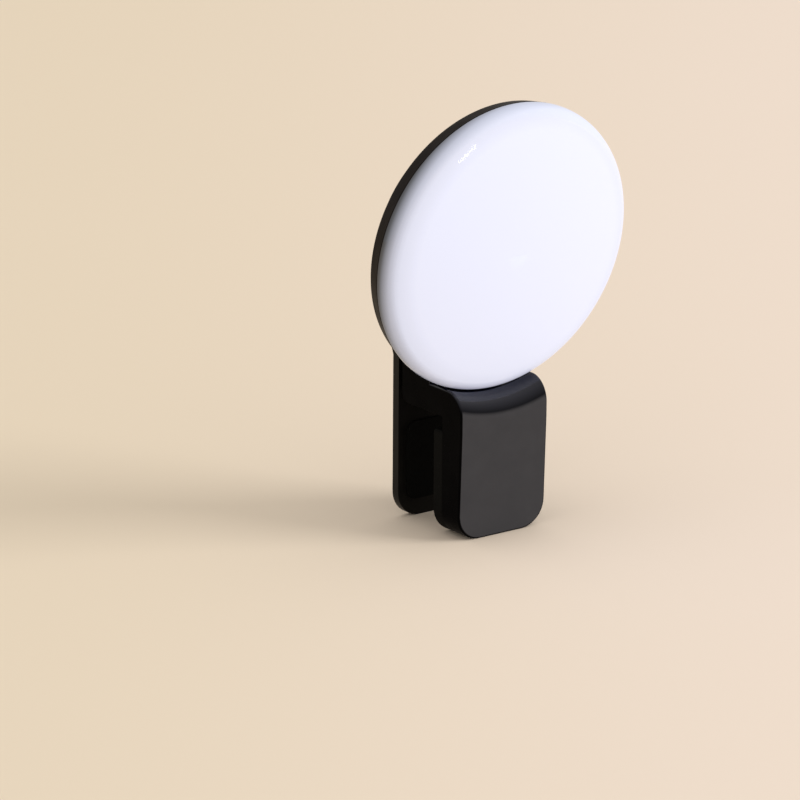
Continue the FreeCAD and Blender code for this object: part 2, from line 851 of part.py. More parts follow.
# Board, reflector and LEDs
def led_board():
    body = new_body("led_board")
    disc = circles(body, "board_outline", "XY_Plane", [("0", "0", "board_radius")], "board_seat")
    pad(body, "board", disc, "board_thick")
    hole = circles(
        body, "board_hole_outline", "XY_Plane",
        [("0", "boss_ring", "screw_radius + screw_clear")], "board_top",
    )
    first = pocket(body, "board_hole", hole, "board_thick")
    around(body, "board_holes", [first], BOSS_COUNT)
    return body


def reflector_sheet():
    body = new_body("reflector_sheet")
    disc = circles(
        body, "sheet_outline", "XY_Plane", [("0", "0", "board_radius - sheet_inset")], "board_top"
    )
    pad(body, "sheet", disc, "sheet_thick")
    hole = circles(
        body, "sheet_hole_outline", "XY_Plane",
        [("0", "boss_ring", "screw_head_radius + led_clear")], "board_top + sheet_thick",
    )
    first = pocket(body, "sheet_hole", hole, "sheet_thick")
    around(body, "sheet_holes", [first], BOSS_COUNT)
    for ring, count in LED_RINGS:
        window = rectangle(
            body, ring + "_window_outline", "XY_Plane",
            (ring + " - led_wide / 2 - led_clear", "-led_long / 2 - led_clear"),
            (ring + " + led_wide / 2 + led_clear", "led_long / 2 + led_clear"),
            "board_top + sheet_thick",
        )
        first = pocket(body, ring + "_window", window, "sheet_thick")
        around(body, ring + "_windows", [first], count)
    return body


def place_on_ring(piece, ring, angle, shift_x, shift_y):
    """Turn a piece about z and shift it, in its own axes, from a point on a ring."""
    piece.Placement = FreeCAD.Placement(
        FreeCAD.Vector(0, 0, 0), FreeCAD.Rotation(FreeCAD.Vector(0, 0, 1), angle)
    )
    sine = math.sin(math.radians(angle))
    cosine = math.cos(math.radians(angle))
    reach = "(%s + %s)" % (ring, shift_x)
    along = "%s * %.9f - (%s) * %.9f" % (reach, cosine, shift_y, sine)
    across = "%s * %.9f + (%s) * %.9f" % (reach, sine, shift_y, cosine)
    piece.setExpression("Placement.Base.x", bound(along))
    piece.setExpression("Placement.Base.y", bound(across))


def group(label, members):
    """Like pieces kept together as separate solids of one node."""
    gathered = doc.addObject("Part::Compound", label)
    gathered.Label = label
    gathered.Links = members
    parts.append(gathered)
    return gathered


def leds():
    members = []
    for ring, count in LED_RINGS:
        for index in range(count):
            led = doc.addObject("Part::Box", "%s_%02d" % (ring, index))
            led.setExpression("Length", bound("led_wide"))
            led.setExpression("Width", bound("led_long"))
            led.setExpression("Height", bound("led_tall"))
            place_on_ring(led, ring, FULL_TURN * index / count, "(-led_wide / 2)", "-led_long / 2")
            led.setExpression("Placement.Base.z", bound("board_top"))
            members.append(led)
    return group("leds", members)


def round_part(name, radius, tall, ring, angle, level):
    """A cylinder standing on a ring about the disc's axis."""
    piece = doc.addObject("Part::Cylinder", name)
    piece.setExpression("Radius", bound(radius))
    piece.setExpression("Height", bound(tall))
    place_on_ring(piece, ring, angle, "0", "0")
    piece.setExpression("Placement.Base.z", bound(level))
    return piece


def board_screws():
    members = []
    for index in range(BOSS_COUNT):
        angle = 90.0 + FULL_TURN * index / BOSS_COUNT
        name = "screw_%d" % index
        head = round_part(
            name + "_head", "screw_head_radius", "screw_head_tall", "boss_ring", angle, "board_top"
        )
        shank = round_part(
            name + "_shank", "screw_radius", "screw_length + screw_join", "boss_ring", angle,
            "board_top - screw_length",
        )
        whole = doc.addObject("Part::Fuse", name + "_blank")
        whole.Base = head
        whole.Tool = shank
        slot = doc.addObject("Part::Box", name + "_slot")
        slot.setExpression("Length", bound("2 * screw_head_radius + cut_past"))
        slot.setExpression("Width", bound("screw_slot"))
        slot.setExpression("Height", bound("screw_head_tall"))
        place_on_ring(slot, "boss_ring", angle, "(-screw_head_radius - cut_past / 2)", "-screw_slot / 2")
        slot.setExpression("Placement.Base.z", bound("board_top + screw_head_tall / 2"))
        screw = doc.addObject("Part::Cut", name)
        screw.Base = whole
        screw.Tool = slot
        members.append(screw)
    return group("board_screws", members)


# Battery and what holds and feeds it
def block(label, centre, size, level, tall):
    """A rectangular block on the disc's axes, from a level upwards."""
    body = new_body(label)
    face = rectangle(
        body, label + "_outline", "XY_Plane",
        ("%s - (%s) / 2" % (centre[0], size[0]), "%s - (%s) / 2" % (centre[1], size[1])),
        ("%s + (%s) / 2" % (centre[0], size[0]), "%s + (%s) / 2" % (centre[1], size[1])),
        level,
    )
    pad(body, label + "_block", face, tall)
    return body


def battery_pieces():
    centre = ("battery_x", "battery_y")
    cell = block(
        "battery_cell", centre, ("battery_width", "battery_height"), "battery_back", "battery_thick"
    )
    dress(cell, "cell_corners", "Fillet", "battery_round", lambda edge: runs_along(edge, "z"))
    tape = block(
        "battery_tape", centre, ("battery_width - tape_inset", "battery_height - tape_inset"),
        "floor_z", "tape_thick",
    )
    foam = block(
        "foam_pad", centre, ("battery_width - foam_inset", "battery_height - foam_inset"),
        "battery_front", "board_seat - battery_front",
    )
    dress(foam, "foam_corners", "Fillet", "battery_round", lambda edge: runs_along(edge, "z"))
    return [cell, tape, foam]


def battery_lead(label, turn):
    """A short lead from the cell's end up to the board."""
    across = number("battery_y") + turn * number("lead_pitch") / 2
    start_x = number("battery_x + battery_width / 2")
    level = number("(battery_back + battery_front) / 2")
    bend = number("lead_bend")
    corner_x = start_x + number("lead_run")
    top = number("board_seat")
    low = FreeCAD.Vector(start_x, across, level)
    turn_in = FreeCAD.Vector(corner_x - bend, across, level)
    turn_out = FreeCAD.Vector(corner_x, across, level + bend)
    half = bend * math.sin(math.pi / 4)
    turn_mid = FreeCAD.Vector(corner_x - bend + half, across, level + bend - half)
    high = FreeCAD.Vector(corner_x, across, top)
    path = Part.Wire([
        Part.LineSegment(low, turn_in).toShape(),
        Part.Arc(turn_in, turn_mid, turn_out).toShape(),
        Part.LineSegment(turn_out, high).toShape(),
    ])
    section = Part.Wire(Part.makeCircle(number("lead_radius"), low, FreeCAD.Vector(1, 0, 0)))
    lead = doc.addObject("Part::Feature", label)
    lead.Label = label
    lead.Shape = path.makePipeShell([section], True, True)
    parts.append(lead)
    return lead


# Charging socket: a rounded metal shell round a moulded core
def usb_shell():
    body = new_body("usb_shell")
    start = "usb_mouth - usb_length"
    low = ("-usb_width / 2", "board_seat - usb_height")
    high = ("usb_width / 2", "board_seat")
    pad(body, "shell_tube", rectangle(body, "shell_outline", "YZ_Plane", low, high, start), "usb_length")
    low = ("-usb_width / 2 + usb_wall", "board_seat - usb_height + usb_wall")
    high = ("usb_width / 2 - usb_wall", "board_seat - usb_wall")
    inside = rectangle(body, "mouth_outline", "YZ_Plane", low, high, "usb_mouth")
    pocket(body, "mouth", inside, "usb_length")
    dress(body, "mouth_corners", "Fillet", "usb_corner - usb_wall", is_mouth_corner)
    dress(body, "shell_corners", "Fillet", "usb_corner", is_shell_corner)
    return body


def is_mouth_corner(edge):
    return runs_along(edge, "x") and same(abs(middle(edge).y), "usb_width / 2 - usb_wall")


def is_shell_corner(edge):
    return runs_along(edge, "x") and same(abs(middle(edge).y), "usb_width / 2")


def usb_core():
    body = new_body("usb_core")
    start = "usb_mouth - usb_length"
    inset = "usb_wall + rest_clear"
    low = ("-usb_width / 2 + %s" % inset, "board_seat - usb_height + %s" % inset)
    high = ("usb_width / 2 - %s" % inset.replace("+", "-"), "board_seat - %s" % inset.replace("+", "-"))
    pad(body, "core_block", rectangle(body, "core_outline", "YZ_Plane", low, high, start), "usb_block")
    dress(body, "core_corners", "Fillet", "usb_corner - usb_wall", lambda edge: runs_along(edge, "x"))
    middle_z = "board_seat - usb_height / 2"
    low = ("-tongue_width / 2", middle_z + " - tongue_thick / 2")
    high = ("tongue_width / 2", middle_z + " + tongue_thick / 2")
    tongue = rectangle(body, "tongue_outline", "YZ_Plane", low, high, start)
    pad(body, "tongue", tongue, "usb_length - tongue_setback")
    return body


# Switch, button and indicator
def turned(label, corners, place_y, edge_size=None, test=None):
    """A piece turned about an axis along z, at a height on the disc."""
    body = new_body(label)
    section = outline(body, label + "_section", "XZ_Plane", corners, "-(%s)" % place_y)
    revolve(body, label + "_form", section)
    if edge_size:
        dress(body, label + "_edge", "Fillet", edge_size, test)
    return body


def switch_base():
    body = block(
        "switch_base", ("0", "button_rise"), ("switch_side", "switch_side"), "switch_face", "switch_tall"
    )
    dress(body, "switch_corners", "Chamfer", "part_edge", lambda edge: runs_along(edge, "z"))
    bore = circles(
        body, "switch_bore_outline", "XY_Plane",
        [("0", "button_rise", "plunger_radius + pin_clear")], "switch_face",
    )
    pocket(body, "switch_bore", bore, "plunger_sunk + plunger_room", reverse=True)
    return body


def switch_plunger():
    return turned("switch_plunger", [
        ("0", "plunger_face"),
        ("plunger_radius", "plunger_face"),
        ("plunger_radius", "switch_face + plunger_sunk"),
        ("0", "switch_face + plunger_sunk"),
    ], "button_rise")


def power_button():
    return turned(
        "power_button",
        [
            ("0", "-back_depth - button_proud"),
            ("button_radius", "-back_depth - button_proud"),
            ("button_radius", "flange_back"),
            ("flange_radius", "flange_back"),
            ("flange_radius", "flange_back + flange_thick"),
            ("stem_radius", "flange_back + flange_thick"),
            ("stem_radius", "plunger_face - rest_clear"),
            ("0", "plunger_face - rest_clear"),
        ],
        "button_rise", "button_edge",
        lambda edge: ring_at(edge, "button_radius", "-back_depth - button_proud"),
    )


def indicator_pieces():
    lamp = block(
        "indicator_led", ("pipe_x", "button_rise"), ("indicator_side", "indicator_side / 2"),
        "board_seat - indicator_tall", "indicator_tall",
    )
    pipe = new_body("light_pipe")
    face = circles(
        pipe, "pipe_outline", "XY_Plane", [("pipe_x", "button_rise", "pipe_radius")], "-back_depth"
    )
    pad(pipe, "pipe_rod", face, "back_depth + board_seat - indicator_tall - rest_clear")
    return [lamp, pipe]


def board_part(label, size):
    """A small part soldered under the board."""
    body = block(
        label, (label + "_x", label + "_y"), size, "board_seat - %s_tall" % label, label + "_tall"
    )
    dress(body, label + "_corners", "Chamfer", "part_edge", lambda edge: runs_along(edge, "z"))
    return body


def check_and_write():
    """Stop on anything that failed, then write each sub-part's shape."""
    doc.recompute()
    for item in doc.Objects:
        if "Invalid" in item.State or "Error" in item.State:
            raise ValueError("%s failed: %s" % (item.Name, item.State))
    for piece in parts:
        if piece.Shape.isNull() or not piece.Shape.isValid():
            raise ValueError("%s has no valid shape" % piece.Label)
    os.makedirs("parts", exist_ok=True)
    for piece in parts:
        piece.Shape.exportStep("parts/%s.step" % piece.Label)
        print("%-18s %3d solids %10.3f mm3" % (piece.Label, len(piece.Shape.Solids), piece.Shape.Volume))
    for name in ("head_y", "head_z", "tilt_pin_y", "tilt_pin_z", "lever_pin_y"):
        print(name, round(number(name), 5))


fill_sheet()
clip_body()
front_pad()
lever()
rear_pad()
hinge_pin("lever_pin", "lever_pin_y", "lever_pin_rise", "lever_pin_radius")
hinge_pin("tilt_pin", "tilt_pin_y", "tilt_pin_z", "tilt_pin_radius")
tilt_washer("tilt_washer_left", -1)
tilt_washer("tilt_washer_right", 1)
torsion_spring()
head_pieces = [head_housing(), diffuser_dome(), led_board(), reflector_sheet(), leds(), board_screws()]
head_pieces += battery_pieces()
head_pieces += [battery_lead("battery_lead_plus", 1), battery_lead("battery_lead_minus", -1)]
head_pieces += [usb_shell(), usb_core(), switch_base(), switch_plunger(), power_button()]
head_pieces += indicator_pieces()
head_pieces += [
    board_part("chip", ("chip_long", "chip_wide")),
    board_part("inductor", ("inductor_side", "inductor_side")),
]
for head_piece in head_pieces:
    to_head(head_piece)
check_and_write()
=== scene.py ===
"""Looks of the clip-on selfie light: finishes for every piece, floor, lights and camera.

Metres throughout. X is to the viewer's right, the light faces -Y and Z is up. The disc has axes
of its own, with z out of its face and z = 0 at the back of its rim, which its finishes use.
"""
import json
import math

import bpy
from mathutils import Matrix, Vector


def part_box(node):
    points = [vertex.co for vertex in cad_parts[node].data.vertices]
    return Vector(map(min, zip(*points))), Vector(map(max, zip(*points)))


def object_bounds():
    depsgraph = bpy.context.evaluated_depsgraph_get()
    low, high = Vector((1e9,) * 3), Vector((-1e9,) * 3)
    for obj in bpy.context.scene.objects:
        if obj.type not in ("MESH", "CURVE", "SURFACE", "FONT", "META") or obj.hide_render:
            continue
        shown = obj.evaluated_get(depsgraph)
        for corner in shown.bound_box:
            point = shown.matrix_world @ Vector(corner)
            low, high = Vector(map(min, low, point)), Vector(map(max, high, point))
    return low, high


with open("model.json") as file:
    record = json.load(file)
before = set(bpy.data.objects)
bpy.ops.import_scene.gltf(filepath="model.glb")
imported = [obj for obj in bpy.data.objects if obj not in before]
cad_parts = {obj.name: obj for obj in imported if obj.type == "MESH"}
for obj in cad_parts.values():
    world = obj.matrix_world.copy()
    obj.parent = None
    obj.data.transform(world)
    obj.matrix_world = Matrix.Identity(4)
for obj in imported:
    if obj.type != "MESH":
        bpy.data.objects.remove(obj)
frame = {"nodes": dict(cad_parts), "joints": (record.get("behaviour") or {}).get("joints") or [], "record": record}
cad_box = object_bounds()

MM = 0.001

# The camera, as worked out from the photograph
CAMERA_AZIMUTH = -37.2
CAMERA_ELEVATION = 17.1
CAMERA_ROLL = 0.36
CAMERA_DISTANCE = 1.061
CAMERA_LENS = 356.5
CAMERA_ANCHOR = Vector((0, -6.0, 0)) * MM
AIM_RIGHT = -14.03 * MM
AIM_UP = 1.86 * MM

# The disc, from the frame
BOARD_MIDDLE = 0.9 * MM
DISC_RADIUS = 20.35 * MM
RIM_FRONT = 2.3 * MM


def linear(red, green, blue):
    """A colour given as it looks on screen, 0 to 255, as linear light."""
    values = []
    for level in (red, green, blue):
        share = level / 255
        values.append(share / 12.92 if share <= 0.04045 else ((share + 0.055) / 1.055) ** 2.4)
    return (*values, 1.0)


def disc_axes():
    """The disc's origin and the direction that its face looks along."""
    press = [joint for joint in frame["joints"] if joint["name"] == "power_press"][0]
    out = Vector(press["axis"]).normalized()
    low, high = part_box("led_board")
    return (Vector(low) + Vector(high)) / 2 - out * BOARD_MIDDLE, out


disc_origin, disc_out = disc_axes()
disc_turn = math.atan2(-disc_out.y, disc_out.z)


class Finish:
    """A material round one principled shader, with helpers for the nodes that feed it."""

    def __init__(self, name, **levels):
        self.material = bpy.data.materials.new(name)
        self.material.use_nodes = True
        self.tree = self.material.node_tree
        self.tree.nodes.clear()
        self.shader = self.node("ShaderNodeBsdfPrincipled")
        output = self.node("ShaderNodeOutputMaterial")
        self.tree.links.new(self.shader.outputs["BSDF"], output.inputs["Surface"])
        for socket, value in levels.items():
            self.shader.inputs[socket.replace("_", " ")].default_value = value
        self.place = self.node("ShaderNodeTexCoord").outputs["Object"]
        self.relief = None

    def node(self, kind, inputs=None, **settings):
        """A node with its settings, whose inputs are values or the sockets that feed them."""
        made = self.tree.nodes.new(kind)
        for key, value in settings.items():
            setattr(made, key, value)
        for key, value in (inputs or {}).items():
            if isinstance(value, bpy.types.NodeSocket):
                self.tree.links.new(value, made.inputs[key])
            else:
                made.inputs[key].default_value = value
        return made

    def feed(self, socket, source):
        self.tree.links.new(source, self.shader.inputs[socket])

    def scaled(self, stretch, turn=(0, 0, 0)):
        """The place on the piece, turned and stretched along each axis."""
        mapping = self.node(
            "ShaderNodeMapping", {"Vector": self.place, "Rotation": turn, "Scale": stretch}
        )
        return mapping.outputs["Vector"]

    def noise(self, size, detail=2.0, place=None, rough=0.5):
        """Noise with features of about this size."""
        texture = self.node(
            "ShaderNodeTexNoise",
            {"Vector": place or self.place, "Scale": 1 / size, "Detail": detail, "Roughness": rough},
        )
        return texture.outputs["Fac"]

    def cells(self, size, place=None, feature="F1"):
        texture = self.node(
            "ShaderNodeTexVoronoi", {"Vector": place or self.place, "Scale": 1 / size}, feature=feature
        )
        return texture.outputs["Distance"]

    def spread(self, value, low, high, start=0.0, end=1.0, smooth=False):
        """Map a value from start..end onto low..high."""
        made = self.node(
            "ShaderNodeMapRange",
            {"Value": value, "From Min": start, "From Max": end, "To Min": low, "To Max": high},
            interpolation_type="SMOOTHSTEP" if smooth else "LINEAR",
        )
        return made.outputs["Result"]

    def maths(self, operation, first, second=0.0):
        made = self.node("ShaderNodeMath", operation=operation)
        for index, value in enumerate((first, second)):
            if isinstance(value, bpy.types.NodeSocket):
                self.tree.links.new(value, made.inputs[index])
            else:
                made.inputs[index].default_value = value
        return made.outputs["Value"]

    def ramp(self, value, stops):
        """A colour by value: stops are pairs of a place from 0 to 1 and a linear colour."""
        made = self.node("ShaderNodeValToRGB", {"Fac": value})
        elements = made.color_ramp.elements
        while len(elements) < len(stops):
            elements.new(0.5)
        for element, (where, colour) in zip(elements, stops):
            element.position = where
            element.color = colour
        return made.outputs["Color"]

    def blend(self, share, first, second):
        """A mix of two colours."""
        made = self.node("ShaderNodeMix", data_type="RGBA")
        for index, value in ((0, share), (6, first), (7, second)):
            if isinstance(value, bpy.types.NodeSocket):
                self.tree.links.new(value, made.inputs[index])
            else:
                made.inputs[index].default_value = value
        return made.outputs[2]

    def bump(self, height, depth, strength=1.0):
        """Add relief of this depth on top of any relief already there."""
        inputs = {"Height": height, "Distance": depth, "Strength": strength}
        if self.relief:
            inputs["Normal"] = self.relief
        self.relief = self.node("ShaderNodeBump", inputs).outputs["Normal"]
        self.feed("Normal", self.relief)

    def disc_place(self):
        """The place in the disc's own axes."""
        mapping = self.node(
            "ShaderNodeMapping",
            {"Vector": self.place, "Location": disc_origin, "Rotation": (disc_turn, 0, 0)},
            vector_type="TEXTURE",
        )
        return mapping.outputs["Vector"]

    def parts_of(self, vector):
        return self.node("ShaderNodeSeparateXYZ", {"Vector": vector}).outputs


# Finishes of the pieces that show
def plastic(name, dark, light, rough, grain, depth, specular=0.3):
    """Moulded plastic: slow change of shade, smudges in the gloss and a fine grain."""
    finish = Finish(name, Specular_IOR_Level=specular)
    tone = finish.noise(4 * MM, 4)
    finish.feed("Base Color", finish.ramp(tone, [(0.3, dark), (0.7, light)]))
    smudge = finish.noise(2.5 * MM, 5, finish.scaled((1, 1, 0.5), (0, 0.4, 0.3)))
    finish.feed("Roughness", finish.spread(smudge, rough[0], rough[1], 0.35, 0.65))
    finish.bump(finish.noise(grain, 2), depth)
    return finish


def clip_finish():
    """Black plastic: blasted on the jaw's front, painted lighter grey there as painted light against near-black
    sides, and with a coat and a painted bluish glow from the disc where it faces up to the disc.
    """
    finish = Finish("clip_black", Specular_IOR_Level=0.012, Coat_Roughness=0.06, Coat_IOR=1.5)
    direction = finish.parts_of(finish.node("ShaderNodeTexCoord").outputs["Normal"])
    forwards = finish.maths("MULTIPLY", direction["Y"], -1.0)
    front = finish.spread(forwards, 0.0, 1.0, 0.93, 0.99, True)
    tone = finish.noise(3 * MM, 4)
    polished_and_painted_glow = finish.ramp(tone, [(0.3, linear(3, 3, 4)), (0.7, linear(6, 6, 7))])
    # Front face: a blasted finish, and a lighter grey colour that is painted light on the face turned to the light
    blasted_and_painted_light = finish.ramp(tone, [(0.3, linear(61, 61, 64)), (0.7, linear(64, 64, 67))])
    crest = finish.spread(direction["Z"], 0.0, 1.0, 0.1, 0.9, True)
    # Painted light: where it faces up, the colour is tinted blue to stand for the disc's glow falling on and
    # mirrored in the crest
    polished_and_painted_glow = finish.blend(crest, polished_and_painted_glow, linear(8, 11, 27))
    finish.feed("Base Color", finish.blend(front, polished_and_painted_glow, blasted_and_painted_light))
    smudge = finish.spread(finish.noise(1.8 * MM, 5), 0.24, 0.34, 0.35, 0.65)
    blast = finish.maths("MULTIPLY", front, 0.3)
    finish.feed("Roughness", finish.maths("ADD", smudge, blast))
    finish.feed("Coat Weight", crest)
    finish.bump(finish.noise(1.5 * MM, 2), 0.004 * MM)
    finish.bump(finish.noise(0.08 * MM, 2), 0.0015 * MM)
    return finish


# The diffuser from its seam inwards: how far in, what it reflects, darkened toward the seam as painted shade, and
# what it gives off
DIFFUSER_SHADE_REACH = 8.0 * MM
DIFFUSER_SHADE_AND_GLOW = (
    (0.0, (0.02, 0.022, 0.027), (0.0, 0.0, 0.0)),
    (0.5, (0.08, 0.09, 0.108), (0.006, 0.006, 0.008)),
    (1.2, (0.25, 0.275, 0.34), (0.03, 0.032, 0.045)),
    (2.4, (0.42, 0.46, 0.57), (0.11, 0.115, 0.15)),
    (4.5, (0.52, 0.57, 0.69), (0.2, 0.205, 0.27)),
    (8.0, (0.53, 0.58, 0.71), (0.275, 0.28, 0.355)),
)
DIFFUSER_CLOUD = (0.45, 0.5, 0.6, 1.0)
# Painted shade, deeper on the side away from the key light: the side of the disc that is painted dim down to its
# seam, how far in the painted lit rest starts, and between which shares of the radius along that side one passes
# into the other
PAINTED_DIM_WAY = (-0.98, 0.2)
PAINTED_LIT_START = 3.2 * MM
PAINTED_DIM_SPAN = (-0.23, 1.0)


def diffuser_finish():
    """Milky plastic that glows, with painted shade round its edge down to the seam, deeper on the side away from
    the key light.
    """
    finish = Finish("diffuser_white", Specular_IOR_Level=0.5)
    place = finish.parts_of(finish.disc_place())
    flat = finish.node("ShaderNodeCombineXYZ", {"X": place["X"], "Y": place["Y"]})
    length = finish.node("ShaderNodeVectorMath", {0: flat.outputs["Vector"]}, operation="LENGTH")
    inwards = finish.maths("SUBTRACT", DISC_RADIUS - RIM_FRONT, length.outputs["Value"])
    inwards = finish.maths("ADD", inwards, place["Z"])
    level_share = finish.maths("MULTIPLY", place["X"], PAINTED_DIM_WAY[0] / DISC_RADIUS)
    upright_share = finish.maths("MULTIPLY", place["Y"], PAINTED_DIM_WAY[1] / DISC_RADIUS)
    sideways = finish.maths("ADD", level_share, upright_share)
    # Painted shade: the side away from the key light is left darker down to the seam, the other side painted
    # lighter
    painted_lit_shift = finish.spread(sideways, PAINTED_LIT_START, 0.0, *PAINTED_DIM_SPAN)
    inwards = finish.maths("ADD", inwards, painted_lit_shift)
    share = finish.spread(inwards, 0.0, 1.0, 0.0, DIFFUSER_SHADE_REACH)
    stops = [(step[0] * MM / DIFFUSER_SHADE_REACH, (*step[1], 1.0)) for step in DIFFUSER_SHADE_AND_GLOW]
    # Painted shade: the base colour darkens toward the seam
    shade = finish.ramp(share, stops)
    cloud = finish.spread(finish.noise(9 * MM, 2), 0.0, 0.06)
    finish.feed("Base Color", finish.blend(cloud, shade, DIFFUSER_CLOUD))
    stops = [(step[0] * MM / DIFFUSER_SHADE_REACH, (*step[2], 1.0)) for step in DIFFUSER_SHADE_AND_GLOW]
    finish.feed("Emission Color", finish.ramp(share, stops))
    finish.shader.inputs["Emission Strength"].default_value = 1.0
    finish.feed("Roughness", finish.spread(finish.noise(5 * MM, 3), 0.03, 0.05, 0.35, 0.65))
    finish.bump(finish.noise(3 * MM, 2), 0.003 * MM)
    return finish


def housing_finish():
    """Black moulded plastic with a fine spark grain on the back."""
    finish = plastic(
        "housing_black", linear(20, 15, 13), linear(28, 22, 19), (0.4, 0.5), 0.12 * MM, 0.003 * MM, 0.04
    )
    finish.bump(finish.cells(0.3 * MM), 0.004 * MM)
    return finish


def metal(name, dark, light, rough, stretch, depth=0.0015 * MM):
    """Metal with fine lines drawn along one way."""
    finish = Finish(name, Metallic=1.0)
    lines = finish.noise(0.1 * MM, 4, finish.scaled(stretch))
    finish.feed("Base Color", finish.ramp(lines, [(0.3, dark), (0.7, light)]))
    stain = finish.noise(1.2 * MM, 4)
    finish.feed("Roughness", finish.spread(stain, rough[0], rough[1], 0.35, 0.65))
    finish.bump(lines, depth)
    return finish


def rubber(name, dark, light, cell=0.25 * MM):
    """Soft rubber with a pebbled skin and traces of dust."""
    finish = Finish(name, Specular_IOR_Level=0.05)
    dust = finish.noise(0.6 * MM, 6, rough=0.7)
    finish.feed("Base Color", finish.ramp(dust, [(0.35, dark), (0.75, light)]))
    finish.feed("Roughness", finish.spread(dust, 0.6, 0.85))
    finish.bump(finish.cells(cell), 0.01 * MM)
    return finish


FINISHES = {
    "clip_black": clip_finish,
    "diffuser_white": diffuser_finish,
    "housing_black": housing_finish,
    "lever_black": lambda: plastic(
        "lever_black", linear(12, 11, 10), linear(18, 17, 15), (0.32, 0.45), 0.15 * MM, 0.003 * MM, 0.12
    ),
    "pad_rubber": lambda: rubber("pad_rubber", linear(6, 6, 5), linear(13, 13, 12)),
    "pin_steel": lambda: metal(
        "pin_steel", (0.42, 0.42, 0.43, 1), (0.62, 0.62, 0.63, 1), (0.25, 0.4), (0.2, 1, 1)
    ),
    "washer_nylon": lambda: plastic(
        "washer_nylon", linear(196, 193, 184), linear(214, 211, 202), (0.45, 0.55), 0.2 * MM, 0.003 * MM
    ),
    "spring_steel": lambda: metal(
        "spring_steel", (0.3, 0.3, 0.31, 1), (0.5, 0.5, 0.52, 1), (0.28, 0.42), (0.3, 1, 1)
    ),
    "socket_steel": lambda: metal(
        "socket_steel", (0.5, 0.5, 0.5, 1), (0.66, 0.66, 0.67, 1), (0.2, 0.34), (0.15, 1, 1)
    ),
    "socket_black": lambda: plastic(
        "socket_black", linear(18, 18, 18), linear(28, 28, 28), (0.45, 0.6), 0.1 * MM, 0.002 * MM
    ),
    "button_black": lambda: rubber("button_black", linear(20, 19, 19), linear(33, 32, 31), 0.18 * MM),
    "pipe_clear": lambda: plastic(
        "pipe_clear", linear(196, 204, 210), linear(222, 228, 232), (0.1, 0.2), 0.3 * MM, 0.001 * MM, 0.5
    ),
    "board_white": lambda: plastic(
        "board_white", linear(214, 217, 212), linear(226, 229, 224), (0.35, 0.45), 0.3 * MM, 0.002 * MM
    ),
    "reflector_white": lambda: plastic(
        "reflector_white", linear(232, 232, 232), linear(243, 243, 243), (0.4, 0.55), 0.3 * MM, 0.002 * MM
    ),
    "led_yellow": lambda: plastic(
        "led_yellow", linear(226, 208, 96), linear(240, 226, 130), (0.25, 0.35), 0.2 * MM, 0.002 * MM
    ),
    "screw_steel": lambda: metal(
        "screw_steel", (0.4, 0.4, 0.41, 1), (0.58, 0.58, 0.6, 1), (0.25, 0.4), (1, 1, 0.3)
    ),
    "cell_foil": lambda: metal(
        "cell_foil", (0.6, 0.61, 0.63, 1), (0.75, 0.76, 0.78, 1), (0.3, 0.45), (1, 1, 0.4)
    ),
    "tape_yellow": lambda: plastic(
        "tape_yellow", linear(186, 132, 40), linear(214, 158, 58), (0.3, 0.4), 0.4 * MM, 0.002 * MM
    ),
    "foam_grey": lambda: rubber("foam_grey", linear(70, 70, 71), linear(104, 104, 106), 0.35 * MM),
    "lead_red": lambda: plastic(
        "lead_red", linear(160, 22, 18), linear(186, 34, 28), (0.35, 0.45), 0.1 * MM, 0.002 * MM
    ),
    "lead_black": lambda: plastic(
        "lead_black", linear(18, 18, 18), linear(28, 28, 28), (0.35, 0.45), 0.1 * MM, 0.002 * MM
    ),
    "switch_black": lambda: plastic(
        "switch_black", linear(24, 24, 24), linear(36, 36, 36), (0.4, 0.55), 0.15 * MM, 0.002 * MM
    ),
    "plunger_white": lambda: plastic(
        "plunger_white", linear(212, 212, 208), linear(226, 226, 222), (0.35, 0.5), 0.15 * MM, 0.002 * MM
    ),
    "chip_black": lambda: plastic(
        "chip_black", linear(22, 22, 23), linear(34, 34, 35), (0.5, 0.65), 0.06 * MM, 0.002 * MM
    ),
    "inductor_grey": lambda: plastic(
        "inductor_grey", linear(92, 92, 94), linear(122, 122, 124), (0.5, 0.65), 0.08 * MM, 0.003 * MM
    ),
}


def dress_nodes():
    """Give each node the finish of its material slot."""
    made = {slot: build() for slot, build in FINISHES.items()}
    for part in frame["record"]["subparts"]:
        piece = frame["nodes"][part["node"]]
        piece.data.materials.clear()
        piece.data.materials.append(made[part["material_slot"]].material)


# Floor, with painted light that brightens it from left to right as the camera sees it
FLOOR_HALF = 3.0
FLOOR_PAINTED_SHADE_LEFT = linear(236, 222, 199)
FLOOR_PAINTED_LIGHT_RIGHT = linear(243, 229, 216)
FLOOR_PAINTED_LIGHT_TURN = 0.08


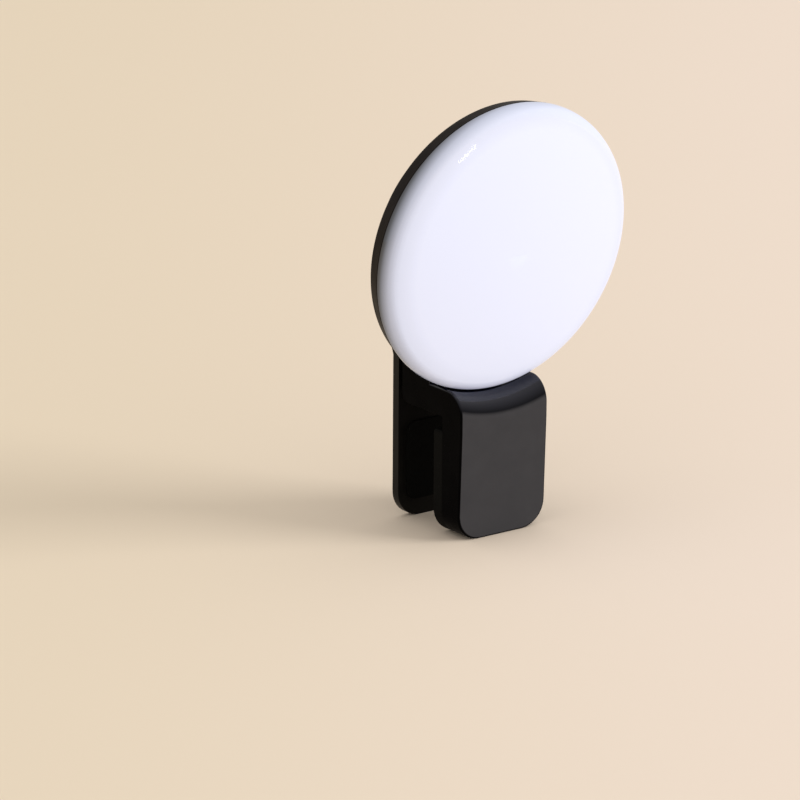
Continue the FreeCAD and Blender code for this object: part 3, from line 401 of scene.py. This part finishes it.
def make_floor():
    level = cad_box[0].z
    signs = ((-1, -1), (1, -1), (1, 1), (-1, 1))
    corners = [(x * FLOOR_HALF, y * FLOOR_HALF, level) for x, y in signs]
    mesh = bpy.data.meshes.new("floor")
    mesh.from_pydata(corners, [], [(0, 1, 2, 3)])
    floor = bpy.data.objects.new("floor", mesh)
    bpy.context.scene.collection.objects.link(floor)
    finish = Finish("floor_paper", Specular_IOR_Level=0.1, Roughness=0.9)
    azimuth = math.radians(CAMERA_AZIMUTH)
    right = Vector((math.cos(azimuth), math.sin(azimuth), 0))
    across = finish.node("ShaderNodeVectorMath", {0: finish.place, 1: right}, operation="DOT_PRODUCT")
    # Painted light: the floor's colour grows lighter from left to right
    share = finish.spread(across.outputs["Value"], 0.0, 1.0, -FLOOR_PAINTED_LIGHT_TURN, FLOOR_PAINTED_LIGHT_TURN, True)
    cloud = finish.spread(finish.noise(0.2, 3), -0.08, 0.08)
    share = finish.maths("ADD", share, cloud)
    finish.feed("Base Color", finish.ramp(share, [(0.0, FLOOR_PAINTED_SHADE_LEFT), (1.0, FLOOR_PAINTED_LIGHT_RIGHT)]))
    mesh.materials.append(finish.material)


def make_lamp(name, place, target, size, power, colour, along=(0, 0, 1), mirrored=True):
    """A rectangular lamp at a place, with its long side along a way."""
    data = bpy.data.lights.new(name, "AREA")
    data.shape = "RECTANGLE"
    data.size, data.size_y = size
    data.energy = power
    data.color = colour
    lamp = bpy.data.objects.new(name, data)
    back = (Vector(place) - Vector(target)).normalized()
    right = Vector(along).cross(back).normalized()
    turn = Matrix((right, back.cross(right), back)).transposed()
    lamp.matrix_world = Matrix.Translation(place) @ turn.to_4x4()
    lamp.visible_glossy = mirrored
    bpy.context.scene.collection.objects.link(lamp)


# The ends of the strip that the diffuser mirrors as one short streak, and where on the diffuser
STRIP_LOW = Vector((67.0, -188.5, -3.8)) * MM
STRIP_HIGH = Vector((81.5, -184.7, 5.3)) * MM
STREAK = Vector((-8.95, -8.83, 37.82)) * MM
STRIP_WIDE = 0.5 * MM
STRIP_POWER = 0.00042

# The key light, which comes from the viewer's right and has no mirror image of its own
KEY_PLACE = (1.6, -1.6, 0.9)
KEY_TARGET = (0, 0, 0.02)
KEY_SIZE = (1.2, 1.2)
KEY_POWER = 34.0
KEY_COLOUR = (1.0, 0.98, 0.96)

SKY_COLOUR = linear(240, 235, 230)
SKY_STRENGTH = 0.88


def make_light():
    world = bpy.data.worlds.new("studio")
    world.use_nodes = True
    shade = world.node_tree.nodes["Background"]
    shade.inputs["Color"].default_value = SKY_COLOUR
    shade.inputs["Strength"].default_value = SKY_STRENGTH
    bpy.context.scene.world = world
    make_lamp("key", KEY_PLACE, KEY_TARGET, KEY_SIZE, KEY_POWER, KEY_COLOUR, mirrored=False)
    strip = STRIP_HIGH - STRIP_LOW
    middle = (STRIP_LOW + STRIP_HIGH) / 2
    size = (STRIP_WIDE, strip.length)
    make_lamp("strip", middle, STREAK, size, STRIP_POWER, (1.0, 1.0, 1.0), strip)


def make_camera():
    azimuth = math.radians(CAMERA_AZIMUTH)
    elevation = math.radians(CAMERA_ELEVATION)
    right = Vector((math.cos(azimuth), math.sin(azimuth), 0))
    level_back = Vector((math.sin(azimuth), -math.cos(azimuth), 0))
    back = level_back * math.cos(elevation) + Vector((0, 0, math.sin(elevation)))
    up = back.cross(right)
    aim = CAMERA_ANCHOR + right * AIM_RIGHT + up * AIM_UP
    data = bpy.data.cameras.new("camera")
    data.lens = CAMERA_LENS
    data.clip_start = 0.05
    data.clip_end = 20
    camera = bpy.data.objects.new("camera", data)
    turn = Matrix((right, up, back)).transposed() @ Matrix.Rotation(math.radians(CAMERA_ROLL), 3, "Z")
    camera.matrix_world = Matrix.Translation(aim + back * CAMERA_DISTANCE) @ turn.to_4x4()
    bpy.context.scene.collection.objects.link(camera)
    bpy.context.scene.camera = camera


dress_nodes()
make_floor()
make_light()
make_camera()
bpy.context.scene.view_settings.view_transform = "Standard"
